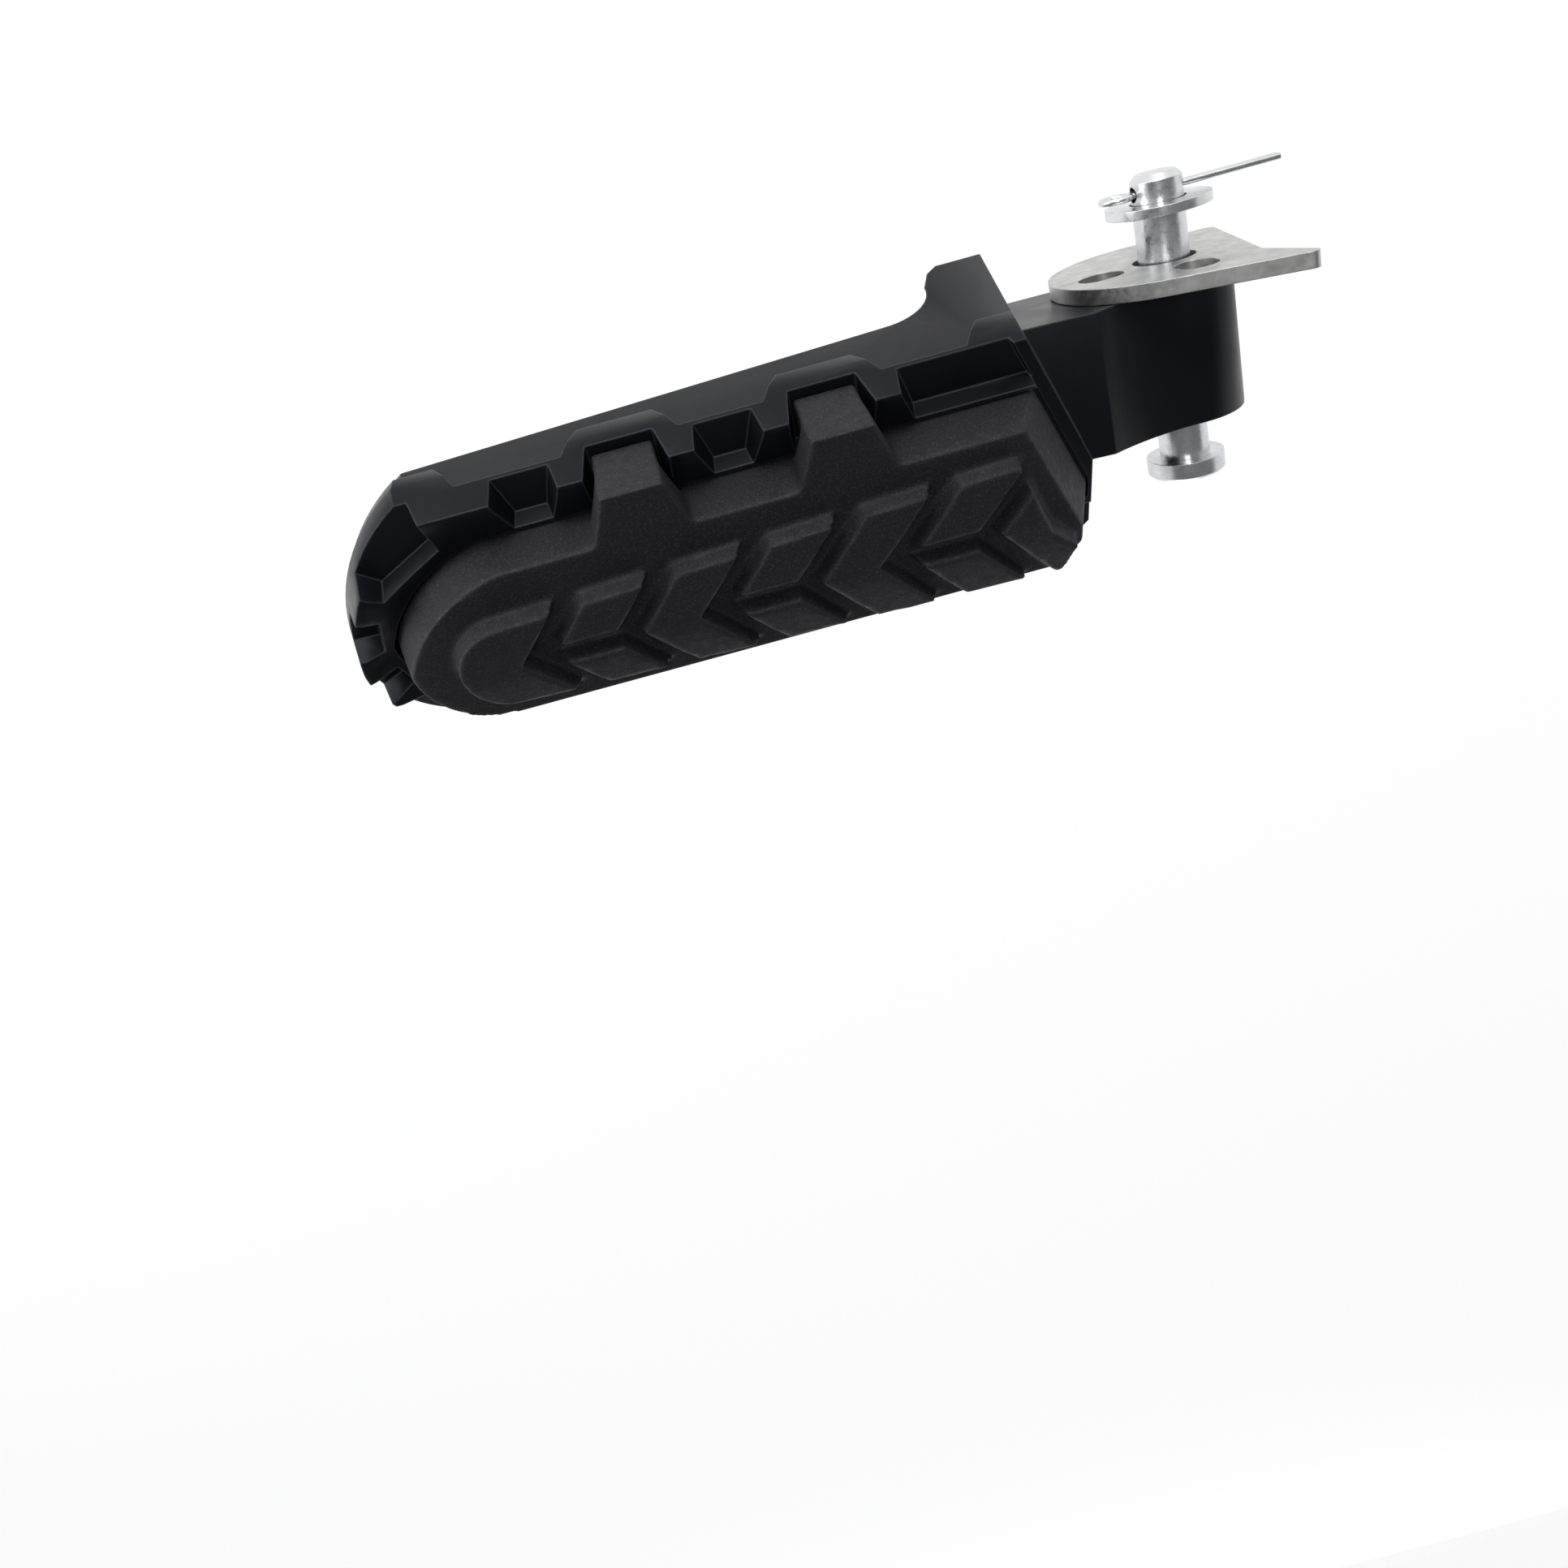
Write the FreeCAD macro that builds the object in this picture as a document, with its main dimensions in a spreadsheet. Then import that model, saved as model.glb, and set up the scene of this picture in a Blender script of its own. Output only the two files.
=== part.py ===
import FreeCAD, Part
import math
import os

import Sketcher

# A folding passenger footrest for a motorbike. X runs outward from the hinge pin to the tip, Z is up out of
# the tread, and the pivot axis leans about X. The hinge frame has x = X, y across the tongue and z along the pin.

DRIVING_SIZES = {
    # Plan of the casting, millimetres and degrees. The near side is -Y.
    "half_width": 19.6,
    "far_half_width": 17.0,
    "nose_corner_x": 100.7,
    "nose_arc_x": 84.5,
    "nose_arc_y": 4.8,
    "tip_y": 2.0,
    "end_x": 18.5,
    "end_angle": 22.5,
    "end_corner": 1.5,
    "end_lean": 4.0,
    "end_set_back": 0.3,
    "far_corner": 5.0,
    # Levels above the pivot axis
    "deck_level": 15.55,
    "rib_level": 17.8,
    "cleat_level": 19.2,
    "far_rim_level": 15.8,
    "notch_level": 14.5,
    "bevel_level": 13.05,
    "band_level": 10.6,
    "band_arch_level": 14.95,
    "band_undercut": 10.0,
    "rim_lean": 12.0,
    "beam_level": 4.1,
    "beam_rise": 3.0,
    "heel_level": -6.4,
    "heel_thickness": 5.2,
    "heel_taper": 1.2,
    "heel_chamfer": 1.4,
    "heel_fillet": 6.5,
    "beam_inset": 1.4,
    "beam_draft": 3.0,
    # Rim with its cleats, windows and notches
    "crest_thickness": 0.8,
    "window_floor_half": 13.8,
    "window_x": 85.8,
    "cleat_pitch": 24.0,
    "window_outer": 7.2,
    "window_inner": 3.9,
    "notch_width": 8.0,
    "cleat_draft": 12.0,
    "arch_top": 10.0,
    "arch_foot": 15.0,
    "arch_nose_run": 2.5,
    "lip_thickness": 1.6,
    "lip_level": 16.4,
    "nose_notch_from": 41.0,
    "nose_notch_to": 79.0,
    "tip_notch_from": 4.0,
    "tip_notch_to": 20.0,
    "far_notch_from": 15.0,
    "far_notch_to": 24.0,
    "notch_hub_x": 95.4,
    "far_trim_y": 8.5,
    # Lightening pockets below the deck
    "pocket_ceiling": 12.4,
    "pocket_half": 12.5,
    "pocket_length": 20.0,
    "bolt_x": 48.0,
    "bolt_pitch": 27.0,
    # Tongue and its bores
    "pivot_tilt": 23.0,
    "tongue_height": 18.4,
    "tongue_radius": 8.0,
    "tongue_back": 9.5,
    "tongue_root_x": 26.0,
    "tongue_crest_x": 13.5,
    "tongue_crest": 10.8,
    "tongue_front": 9.2,
    "tongue_hollow": 27.0,
    "tongue_edge": 0.8,
    "bush_diameter": 8.0,
    "running_gap": 0.05,
    "detent_radius": 9.0,
    "detent_angle": 8.0,
    "detent_bore": 6.7,
    "detent_depth": 14.0,
    # Rubber tread
    "pad_half": 12.5,
    "pad_far_half": 10.0,
    "pad_nose_x": 91.0,
    "pad_arc_x": 86.1,
    "pad_arc_y": 8.0,
    "pad_nose_slope": 1.8,
    "pad_end_gap": 2.0,
    "pad_corner": 4.5,
    "pad_far_corner": 3.0,
    "seat_gap": 0.3,
    "foot_height": 1.0,
    "slab_level": 24.3,
    "slab_inset": 0.1,
    "slab_end_gap": 5.3,
    "block_root": 0.4,
    "tread_level": 27.0,
    "crown": 0.8,
    "field_nose_half": 6.8,
    "field_end_half": 9.4,
    "field_far_half": 9.4,
    "field_tip_x": 100.0,
    "field_end_gap": 7.4,
    "field_far_gap": 6.2,
    "field_step_y": 1.4,
    "field_far_y": 5.0,
    "field_far_slant": 2.2,
    "block_draft": 12.0,
    "block_x": 86.0,
    "block_pitch": 10.94,
    "groove_width": 2.7,
    "groove_draft": 12.0,
    "chevron_depth": 5.3,
    "split_groove": 2.0,
    "tab_width": 7.4,
    "tab_gap": 0.3,
    "tab_reach": 18.3,
    "tab_crest_half": 18.9,
    "tab_root": 0.6,
    "tab_flare": 2.3,
    "tab_flare_foot": 19.6,
    # Pad fixings
    "backing_thickness": 2.0,
    "backing_half": 7.5,
    "backing_margin": 9.0,
    "boss_diameter": 9.0,
    "boss_height": 3.6,
    "bolt_diameter": 5.0,
    "bolt_clearance": 0.3,
    "bolt_head_across": 8.0,
    "bolt_head_height": 3.6,
    "bolt_flange_diameter": 11.0,
    "bolt_flange_height": 1.2,
    # Hinge hardware
    "bush_end_play": 0.05,
    "pin_diameter": 6.4,
    "pin_gap": 0.05,
    "pin_head_diameter": 10.0,
    "pin_head_height": 2.5,
    "pin_chamfer": 0.8,
    "ear_thickness": 6.0,
    "ear_gap": 0.1,
    "plate_thickness": 2.0,
    "plate_gap": 0.1,
    "plate_hole": 7.9,
    "plate_radius": 14.6,
    "plate_edge": 9.7,
    "plate_edge_lean": 3.7,
    "plate_flank_lean": 7.0,
    "plate_tail_x": 15.6,
    "plate_tail_neck": 7.7,
    "plate_corner": 0.9,
    "slot_width": 4.8,
    "slot_length": 5.9,
    "slot_lead": 24.0,
    "fold_range": 82.5,
    "washer_diameter": 13.0,
    "washer_hole": 7.0,
    "washer_thickness": 1.2,
    "cotter_wire": 1.7,
    "cotter_hole": 2.0,
    "cotter_length": 19.5,
    "cotter_eye": 4.3,
    "cotter_margin": 1.3,
    "pin_tail": 2.2,
    "ball_diameter": 6.35,
    "ball_sink": 0.15,
    "spring_diameter": 6.4,
    "spring_wire": 1.2,
    "spring_turns": 5.0,
    "spring_seat_gap": 0.05,
}


class Size:
    """A size with its value and the sheet expression that it is bound to."""

    def __init__(self, value, text):
        self.value = value
        self.text = text

    def _with(self, other, sign, result):
        return Size(result, "(%s %s %s)" % (self.text, sign, other.text))

    def __add__(self, other):
        other = size_of(other)
        return self._with(other, "+", self.value + other.value)

    def __sub__(self, other):
        other = size_of(other)
        return self._with(other, "-", self.value - other.value)

    def __mul__(self, other):
        other = size_of(other)
        return self._with(other, "*", self.value * other.value)

    def __truediv__(self, other):
        other = size_of(other)
        return self._with(other, "/", self.value / other.value)

    def __neg__(self):
        return Size(-self.value, "(0 - %s)" % self.text)


def size_of(number):
    """A plain number as a Size, so that numbers and sizes mix in sums."""
    if isinstance(number, Size):
        return number
    return Size(float(number), repr(float(number)))


def sine(angle):
    return Size(math.sin(math.radians(angle.value)), "sin(%s * 1 deg)" % angle.text)


def cosine(angle):
    return Size(math.cos(math.radians(angle.value)), "cos(%s * 1 deg)" % angle.text)


def tangent(angle):
    return Size(math.tan(math.radians(angle.value)), "tan(%s * 1 deg)" % angle.text)


def root(square):
    return Size(math.sqrt(square.value), "sqrt(%s)" % square.text)


doc = FreeCAD.newDocument("PassengerFootrest")
sheet = doc.addObject("Spreadsheet::Sheet", "Sizes")
for row, (alias, number) in enumerate(DRIVING_SIZES.items(), start=1):
    sheet.set("A%d" % row, alias)
    sheet.set("B%d" % row, str(number))
    sheet.setAlias("B%d" % row, alias)
doc.recompute()
dim = {alias: Size(float(sheet.get(alias)), "Sizes." + alias) for alias in DRIVING_SIZES}

ZERO = size_of(0)
X_AXIS = FreeCAD.Vector(1, 0, 0)
Y_AXIS = FreeCAD.Vector(0, 1, 0)
Z_AXIS = FreeCAD.Vector(0, 0, 1)


def bind(thing, prop, size):
    """Binds one property of an object to a sheet expression."""
    thing.setExpression(prop, size.text)


def new_body(name):
    body = doc.addObject("PartDesign::Body", name)
    body.Label = name
    return body


def origin_plane(body, role):
    for feature in body.Origin.OriginFeatures:
        if feature.Role == role:
            return feature
    raise ValueError("no plane " + role)


def attach(sketch, body, role, shift=(ZERO, ZERO, ZERO), axis=Z_AXIS, turn=ZERO):
    """Puts a sketch on one of its body's planes, shifted and turned in that plane's own frame."""
    sketch.AttachmentSupport = [(origin_plane(body, role), "")]
    sketch.MapMode = "FlatFace"
    base = FreeCAD.Vector(*[part.value for part in shift])
    sketch.AttachmentOffset = FreeCAD.Placement(base, FreeCAD.Rotation(axis, turn.value))
    for letter, part in zip("xyz", shift):
        if part is not ZERO:
            bind(sketch, "AttachmentOffset.Base." + letter, part)
    if turn is not ZERO:
        bind(sketch, "AttachmentOffset.Rotation.Angle", turn)


def vector(point):
    return FreeCAD.Vector(point[0].value, point[1].value, 0)


def arc_through(start, end, centre):
    """The arc from start to end about a centre, anticlockwise."""
    middle = vector(centre)
    first = vector(start) - middle
    last = vector(end) - middle
    circle = Part.Circle(middle, Z_AXIS, first.Length)
    return Part.ArcOfCircle(circle, math.atan2(first.y, first.x), math.atan2(last.y, last.x))


def pin_point(sketch, geometry, end, point):
    """Ties one end of a line or arc to its two coordinates in the sheet."""
    for kind, size in zip(("DistanceX", "DistanceY"), point):
        number = sketch.addConstraint(Sketcher.Constraint(kind, geometry, end, size.value))
        bind(sketch, "Constraints[%d]" % number, size)


def draw_loop(sketch, corners, arcs=None):
    """Draws a closed loop of corners. arcs maps a corner's index to the centre of the arc that leaves it."""
    arcs = arcs or {}
    first = sketch.GeometryCount
    count = len(corners)
    for index, start in enumerate(corners):
        end = corners[(index + 1) % count]
        if index in arcs:
            sketch.addGeometry(arc_through(start, end, arcs[index]), False)
        else:
            sketch.addGeometry(Part.LineSegment(vector(start), vector(end)), False)
    for index, start in enumerate(corners):
        following = first + (index + 1) % count
        sketch.addConstraint(Sketcher.Constraint("Coincident", first + index, 2, following, 1))
        pin_point(sketch, first + index, 1, start)
    for index, centre in arcs.items():
        number = sketch.addConstraint(Sketcher.Constraint("DistanceX", first + index, 3, centre[0].value))
        bind(sketch, "Constraints[%d]" % number, centre[0])


def draw_circle(sketch, centre, diameter):
    index = sketch.addGeometry(Part.Circle(vector(centre), Z_AXIS, diameter.value / 2), False)
    pin_point(sketch, index, 3, centre)
    number = sketch.addConstraint(Sketcher.Constraint("Diameter", index, diameter.value))
    bind(sketch, "Constraints[%d]" % number, diameter)


def new_sketch(body, name, role="XY_Plane", shift=(ZERO, ZERO, ZERO), axis=Z_AXIS, turn=ZERO):
    sketch = body.newObject("Sketcher::SketchObject", name)
    attach(sketch, body, role, shift, axis, turn)
    return sketch


def at_level(body, name, level):
    """A sketch parallel to the tread, in plan, at one level."""
    return new_sketch(body, name, "XY_Plane", (ZERO, ZERO, level))


def pad(body, sketch, length, reverse=False, midplane=False, draft=None):
    feature = body.newObject("PartDesign::Pad", sketch.Name + "_pad")
    feature.Profile = sketch
    bind(feature, "Length", length)
    feature.Reversed = reverse
    feature.Midplane = midplane
    if draft is not None:
        bind(feature, "TaperAngle", draft)
    doc.recompute()
    return feature


def pocket(body, sketch, length=None, reverse=False, midplane=False, draft=None):
    """Cuts a sketch out of its body, through everything where no length is given."""
    before = body.Shape.Volume
    feature = body.newObject("PartDesign::Pocket", sketch.Name + "_cut")
    feature.Profile = sketch
    if length is None:
        feature.Type = "ThroughAll"
    else:
        bind(feature, "Length", length)
    feature.Reversed = reverse
    feature.Midplane = midplane
    if draft is not None:
        bind(feature, "TaperAngle", draft)
    doc.recompute()
    if body.Shape.Volume >= before:
        raise ValueError(sketch.Name + " cuts nothing")
    return feature


def loft(body, kind, lower, upper):
    feature = body.newObject("PartDesign::" + kind, upper.Name + "_loft")
    feature.Profile = lower
    feature.Sections = [upper]
    feature.Ruled = True
    doc.recompute()
    return feature


def edges_where(shape, test):
    """Names of the edges whose middle point passes a test."""
    names = []
    for index, edge in enumerate(shape.Edges, start=1):
        middle = edge.valueAt((edge.FirstParameter + edge.LastParameter) / 2)
        if test(edge, middle):
            names.append("Edge%d" % index)
    return names


def fillet(body, names, radius):
    base = body.Tip
    feature = body.newObject("PartDesign::Fillet", body.Name + "_fillet")
    feature.Base = (base, names)
    bind(feature, "Radius", radius)
    doc.recompute()
    return feature


# Lines of the plan that several pieces share

end_slope = tangent(dim["end_angle"])


def end_line_x(y, gap=ZERO):
    """X of the line that runs a gap outside the slanting inner end, at one Y."""
    return dim["end_x"] + gap / cosine(dim["end_angle"]) - y * end_slope


def draw_plan(sketch, near, far, near_nose, tip, end_gap, corner, cut):
    """A plan with straight sides, a nose of two arcs and an inner end that slants, runs square and is cut off."""
    near_x, near_centre = near_nose
    far_x = tip[0] - (far - tip[1])
    corner_x = end_line_x(corner, end_gap)
    draw_loop(sketch, [
        (end_line_x(-near, end_gap), -near),
        (near_x, -near),
        tip,
        (far_x, far),
        (corner_x + cut, far),
        (corner_x, far - cut),
        (corner_x, corner),
    ], {1: near_centre, 2: (far_x, tip[1])})


def nose_of(corner_x, half, arc, inset, tip_y):
    """Near corner and tip of a nose whose near arc passes through a corner on the side, drawn in by an inset."""
    across = corner_x - arc[0]
    along = half + arc[1]
    radius = root(across * across + along * along) - inset
    drop = along - inset
    rise = arc[1] - tip_y
    near_x = arc[0] + root(radius * radius - drop * drop)
    tip_x = arc[0] + root(radius * radius - rise * rise)
    return (near_x, arc), (tip_x, tip_y)


def casting_outline(sketch, inset, end_gap, corner=dim["end_corner"]):
    """The casting's plan, drawn in by an inset all round but at its inner end."""
    arc = (dim["nose_arc_x"], dim["nose_arc_y"])
    near_nose, tip = nose_of(dim["nose_corner_x"], dim["half_width"], arc, inset, dim["tip_y"])
    near = dim["half_width"] - inset
    far = dim["far_half_width"] - inset
    draw_plan(sketch, near, far, near_nose, tip, end_gap, corner, dim["far_corner"])


def pad_outline(sketch, inset, end_gap, reach=ZERO):
    """The rubber's plan, drawn in by an inset, with its nose moved outward by a reach."""
    arc = (dim["pad_arc_x"] + reach, dim["pad_arc_y"])
    near_nose, tip = nose_of(dim["pad_nose_x"] + reach, dim["pad_half"], arc, inset, ZERO)
    near = dim["pad_half"] - inset
    far = dim["pad_far_half"] - inset
    draw_plan(sketch, near, far, near_nose, tip, end_gap, dim["pad_corner"], dim["pad_far_corner"])


def window_centre(index):
    return dim["window_x"] - dim["cleat_pitch"] * index


def notch_centre(index):
    return window_centre(index) - dim["cleat_pitch"] / 2


bolt_places = [dim["bolt_x"], dim["bolt_x"] + dim["bolt_pitch"]]
hinge_turn = dim["pivot_tilt"] + 90
tongue_face = dim["tongue_height"] / 2
detent_x = dim["detent_radius"] * cosine(dim["detent_angle"])
detent_y = dim["detent_radius"] * sine(dim["detent_angle"])
detent_floor = tongue_face - dim["detent_depth"]
OUTSIDE = dim["half_width"] * 0.1


def build_casting():
    body = new_body("footrest_casting")
    build_rim(body)
    build_beam(body)
    build_tongue(body)
    shape_underside(body)
    cut_seat(body)
    cut_windows(body)
    cut_bores(body)
    return body


def rim_inset(level):
    """How far the leaning rim has drawn in at a level above its bevel."""
    return (level - dim["bevel_level"]) * tangent(dim["rim_lean"])


def build_rim(body):
    """The proud band: it leans in above and below its widest line and has arches cut out below the windows."""
    run_out = rim_inset(dim["cleat_level"]) * 3
    outline = at_level(body, "rim_outline", dim["bevel_level"])
    casting_outline(outline, ZERO, -run_out)
    pad(body, outline, dim["cleat_level"] - dim["bevel_level"], draft=-dim["rim_lean"])
    bevel = at_level(body, "band_bevel", dim["bevel_level"])
    casting_outline(bevel, ZERO, -run_out)
    pad(body, bevel, dim["bevel_level"] - dim["band_level"], reverse=True, draft=-dim["band_undercut"])
    arches = new_sketch(body, "band_arches", "XZ_Plane")
    below = dim["band_level"] - OUTSIDE
    slope = (dim["arch_foot"] - dim["arch_top"]) / 2 / (dim["band_arch_level"] - dim["band_level"])
    foot = dim["arch_foot"] / 2 + slope * OUTSIDE
    for index in range(3):
        middle = window_centre(index)
        run = dim["arch_nose_run"] if index == 0 else ZERO
        draw_loop(arches, [
            (middle - foot, below),
            (middle + foot + run, below),
            (middle + dim["arch_top"] / 2 + run, dim["band_arch_level"]),
            (middle - dim["arch_top"] / 2, dim["band_arch_level"]),
        ])
    pocket(body, arches, midplane=True)


def build_beam(body):
    """The drafted beam and heel below the band, trimmed to the leaning inner end."""
    outline = at_level(body, "beam_outline", dim["deck_level"])
    run_out = rim_inset(dim["cleat_level"]) * 3
    casting_outline(outline, dim["beam_inset"], -run_out)
    pad(body, outline, dim["deck_level"] - dim["heel_level"], reverse=True, draft=-dim["beam_draft"])
    trim = at_level(body, "end_trim", dim["cleat_level"] + OUTSIDE)
    side = dim["half_width"] * 1.5
    corner = dim["end_corner"]
    gap = dim["end_set_back"]
    away = dim["end_x"] - dim["half_width"] * 2
    far = dim["far_half_width"]
    draw_loop(trim, [
        (end_line_x(-side, gap), -side),
        (end_line_x(corner, gap), corner),
        (end_line_x(corner, gap), far - dim["far_corner"]),
        (end_line_x(corner, gap) + dim["far_corner"] + OUTSIDE, far + OUTSIDE),
        (away, side),
        (away, -side),
    ])
    pocket(body, trim, dim["cleat_level"] - dim["heel_level"] + OUTSIDE * 2, draft=-dim["end_lean"])


def build_tongue(body):
    """The hinge tongue: a round end on the pin, a hollow front and a root that widens into the heel."""
    outline = new_sketch(body, "tongue_outline", "XZ_Plane", axis=X_AXIS, turn=dim["pivot_tilt"])
    radius = dim["tongue_radius"]
    chord_x = dim["tongue_crest_x"]
    chord_y = dim["tongue_crest"] - radius
    chord_square = chord_x * chord_x + chord_y * chord_y
    half_chord_ratio = chord_square / 4 / (dim["tongue_hollow"] * dim["tongue_hollow"])
    rise = root(size_of(1) - half_chord_ratio) * dim["tongue_hollow"]
    chord = root(chord_square)
    hollow_centre = (
        chord_x / 2 - chord_y / chord * rise,
        radius + chord_y / 2 + chord_x / chord * rise,
    )
    corners = [
        (ZERO, -radius),
        (dim["tongue_root_x"], -dim["tongue_back"]),
        (dim["tongue_root_x"], dim["tongue_front"]),
        (chord_x, dim["tongue_crest"]),
        (ZERO, radius),
    ]
    draw_tongue_loop(outline, corners, hollow_centre)
    pad(body, outline, dim["tongue_height"], midplane=True)


def draw_tongue_loop(sketch, corners, hollow_centre):
    """The tongue's loop has a hollow arc that turns clockwise, then the round end."""
    radius = dim["tongue_radius"]
    for start, end in zip(corners[:3], corners[1:4]):
        sketch.addGeometry(Part.LineSegment(vector(start), vector(end)), False)
    sketch.addGeometry(arc_through(corners[4], corners[3], hollow_centre), False)
    sketch.addGeometry(arc_through(corners[4], corners[0], (ZERO, ZERO)), False)
    joints = [(0, 2, 1, 1), (1, 2, 2, 1), (2, 2, 3, 2), (3, 1, 4, 1), (4, 2, 0, 1)]
    for joint in joints:
        sketch.addConstraint(Sketcher.Constraint("Coincident", *joint))
    for geometry, end, point in [(0, 1, corners[0]), (1, 1, corners[1]), (2, 1, corners[2]),
                                 (3, 2, corners[3]), (4, 1, corners[4])]:
        pin_point(sketch, geometry, end, point)
    hollow = sketch.addConstraint(Sketcher.Constraint("Radius", 3, dim["tongue_hollow"].value))
    bind(sketch, "Constraints[%d]" % hollow, dim["tongue_hollow"])
    round_end = sketch.addConstraint(Sketcher.Constraint("DistanceX", 4, 3, 0))
    bind(sketch, "Constraints[%d]" % round_end, radius * 0)


def shape_underside(body):
    """Cuts the beam's rising underside away from the heel, then the two pockets below the deck."""
    side_cut = new_sketch(body, "underside", "XZ_Plane", (dim["end_x"], ZERO, ZERO), Y_AXIS, dim["end_angle"])
    reach = dim["nose_corner_x"] + dim["half_width"] * 2
    low = dim["heel_level"] - dim["half_width"]
    rise = tangent(dim["beam_rise"])
    root_x = dim["heel_thickness"] + dim["heel_taper"]
    fillet_x = root_x + dim["heel_fillet"]
    fillet_z = dim["beam_level"] + rise * fillet_x - dim["heel_fillet"] / cosine(dim["beam_rise"])
    chamfer = dim["heel_chamfer"]
    draw_loop(side_cut, [
        (dim["heel_thickness"] - chamfer, low),
        (reach, low),
        (reach, dim["beam_level"] + rise * reach),
        (fillet_x - sine(dim["beam_rise"]) * dim["heel_fillet"],
         fillet_z + cosine(dim["beam_rise"]) * dim["heel_fillet"]),
        (root_x, fillet_z),
        (dim["heel_thickness"], dim["heel_level"] + chamfer),
        (dim["heel_thickness"] - chamfer, dim["heel_level"]),
    ], {3: (fillet_x, fillet_z)})
    pocket(body, side_cut, midplane=True)
    hollows = at_level(body, "underside_pockets", dim["pocket_ceiling"])
    for place in bolt_places:
        draw_loop(hollows, [
            (place - dim["pocket_length"] / 2, -dim["pocket_half"]),
            (place + dim["pocket_length"] / 2, -dim["pocket_half"]),
            (place + dim["pocket_length"] / 2, dim["pocket_half"]),
            (place - dim["pocket_length"] / 2, dim["pocket_half"]),
        ])
    pocket(body, hollows)


def cut_seat(body):
    """The dished rim inside the cleats, the flat seat of the rubber and the low rim of the far side."""
    foot = at_level(body, "dish_foot", dim["rib_level"])
    pad_outline(foot, -dim["seat_gap"] * 1.5, dim["lip_thickness"], dim["pad_nose_slope"])
    brim = at_level(body, "dish_brim", dim["cleat_level"])
    crest = rim_inset(dim["cleat_level"]) + dim["crest_thickness"]
    casting_outline(brim, crest, dim["lip_thickness"], dim["pad_corner"])
    loft(body, "SubtractiveLoft", foot, brim)
    seat = at_level(body, "rubber_seat", dim["rib_level"])
    pad_outline(seat, -dim["seat_gap"], dim["lip_thickness"], dim["pad_nose_slope"])
    pocket(body, seat, dim["rib_level"] - dim["deck_level"])
    side = dim["half_width"] + OUTSIDE
    corner = dim["end_corner"]
    inside = dim["lip_thickness"]
    lip = at_level(body, "lip_trim", dim["lip_level"])
    draw_loop(lip, [
        (end_line_x(-side, -OUTSIDE), -side),
        (end_line_x(-side, inside), -side),
        (end_line_x(corner, inside), corner),
        (end_line_x(corner, inside), side),
        (end_line_x(corner, -OUTSIDE), side),
        (end_line_x(corner, -OUTSIDE), corner),
    ])
    pocket(body, lip, dim["cleat_level"] - dim["lip_level"] + OUTSIDE, reverse=True)
    far_rim = at_level(body, "far_rim_trim", dim["far_rim_level"])
    draw_loop(far_rim, [
        (ZERO, dim["far_trim_y"]),
        (dim["nose_corner_x"] + dim["half_width"], dim["far_trim_y"]),
        (dim["nose_corner_x"] + dim["half_width"], side),
        (ZERO, side),
    ])
    pocket(body, far_rim, dim["cleat_level"] - dim["far_rim_level"] + OUTSIDE, reverse=True)


def cut_windows(body):
    """Windows, tab notches and nose notches, all drafted so that the cleats taper upwards."""
    height = dim["cleat_level"] - dim["notch_level"] + OUTSIDE
    outer = dim["half_width"] + OUTSIDE
    inner = dim["window_floor_half"]
    flare = (dim["window_outer"] - dim["window_inner"]) / 2 / (dim["half_width"] - inner)
    outer_half = dim["window_outer"] / 2 + flare * OUTSIDE
    inner_half = dim["window_inner"] / 2
    windows = at_level(body, "rim_windows", dim["deck_level"])
    for index in range(2):
        middle = window_centre(index)
        draw_loop(windows, [
            (middle - outer_half, -outer),
            (middle + outer_half, -outer),
            (middle + inner_half, -inner),
            (middle - inner_half, -inner),
        ])
    last = window_centre(2)
    draw_loop(windows, [
        (end_line_x(-outer, dim["lip_thickness"]), -outer),
        (last + outer_half, -outer),
        (last + inner_half, -inner),
        (end_line_x(-inner, dim["lip_thickness"]), -inner),
    ])
    pocket(body, windows, height, reverse=True, draft=dim["cleat_draft"])
    notches = at_level(body, "tab_notches", dim["notch_level"])
    for index in range(2):
        middle = notch_centre(index)
        draw_loop(notches, [
            (middle - dim["notch_width"] / 2, -outer),
            (middle + dim["notch_width"] / 2, -outer),
            (middle + dim["notch_width"] / 2, -dim["pad_half"]),
            (middle - dim["notch_width"] / 2, -dim["pad_half"]),
        ])
    pocket(body, notches, height, reverse=True, draft=dim["cleat_draft"])
    tips = at_level(body, "nose_notches", dim["deck_level"])
    nose_x = dim["notch_hub_x"]
    for name, side in (("nose_notch", -1), ("tip_notch", -1), ("far_notch", 1)):
        start = dim[name + "_from"]
        stop = dim[name + "_to"]
        draw_loop(tips, [
            (nose_x + cosine(angle) * radius, sine(angle) * radius * side)
            for angle, radius in ((start, inner), (start, outer * 1.1), (stop, outer * 1.1), (stop, inner))
        ])
    pocket(body, tips, height, reverse=True, draft=dim["cleat_draft"])


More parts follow.
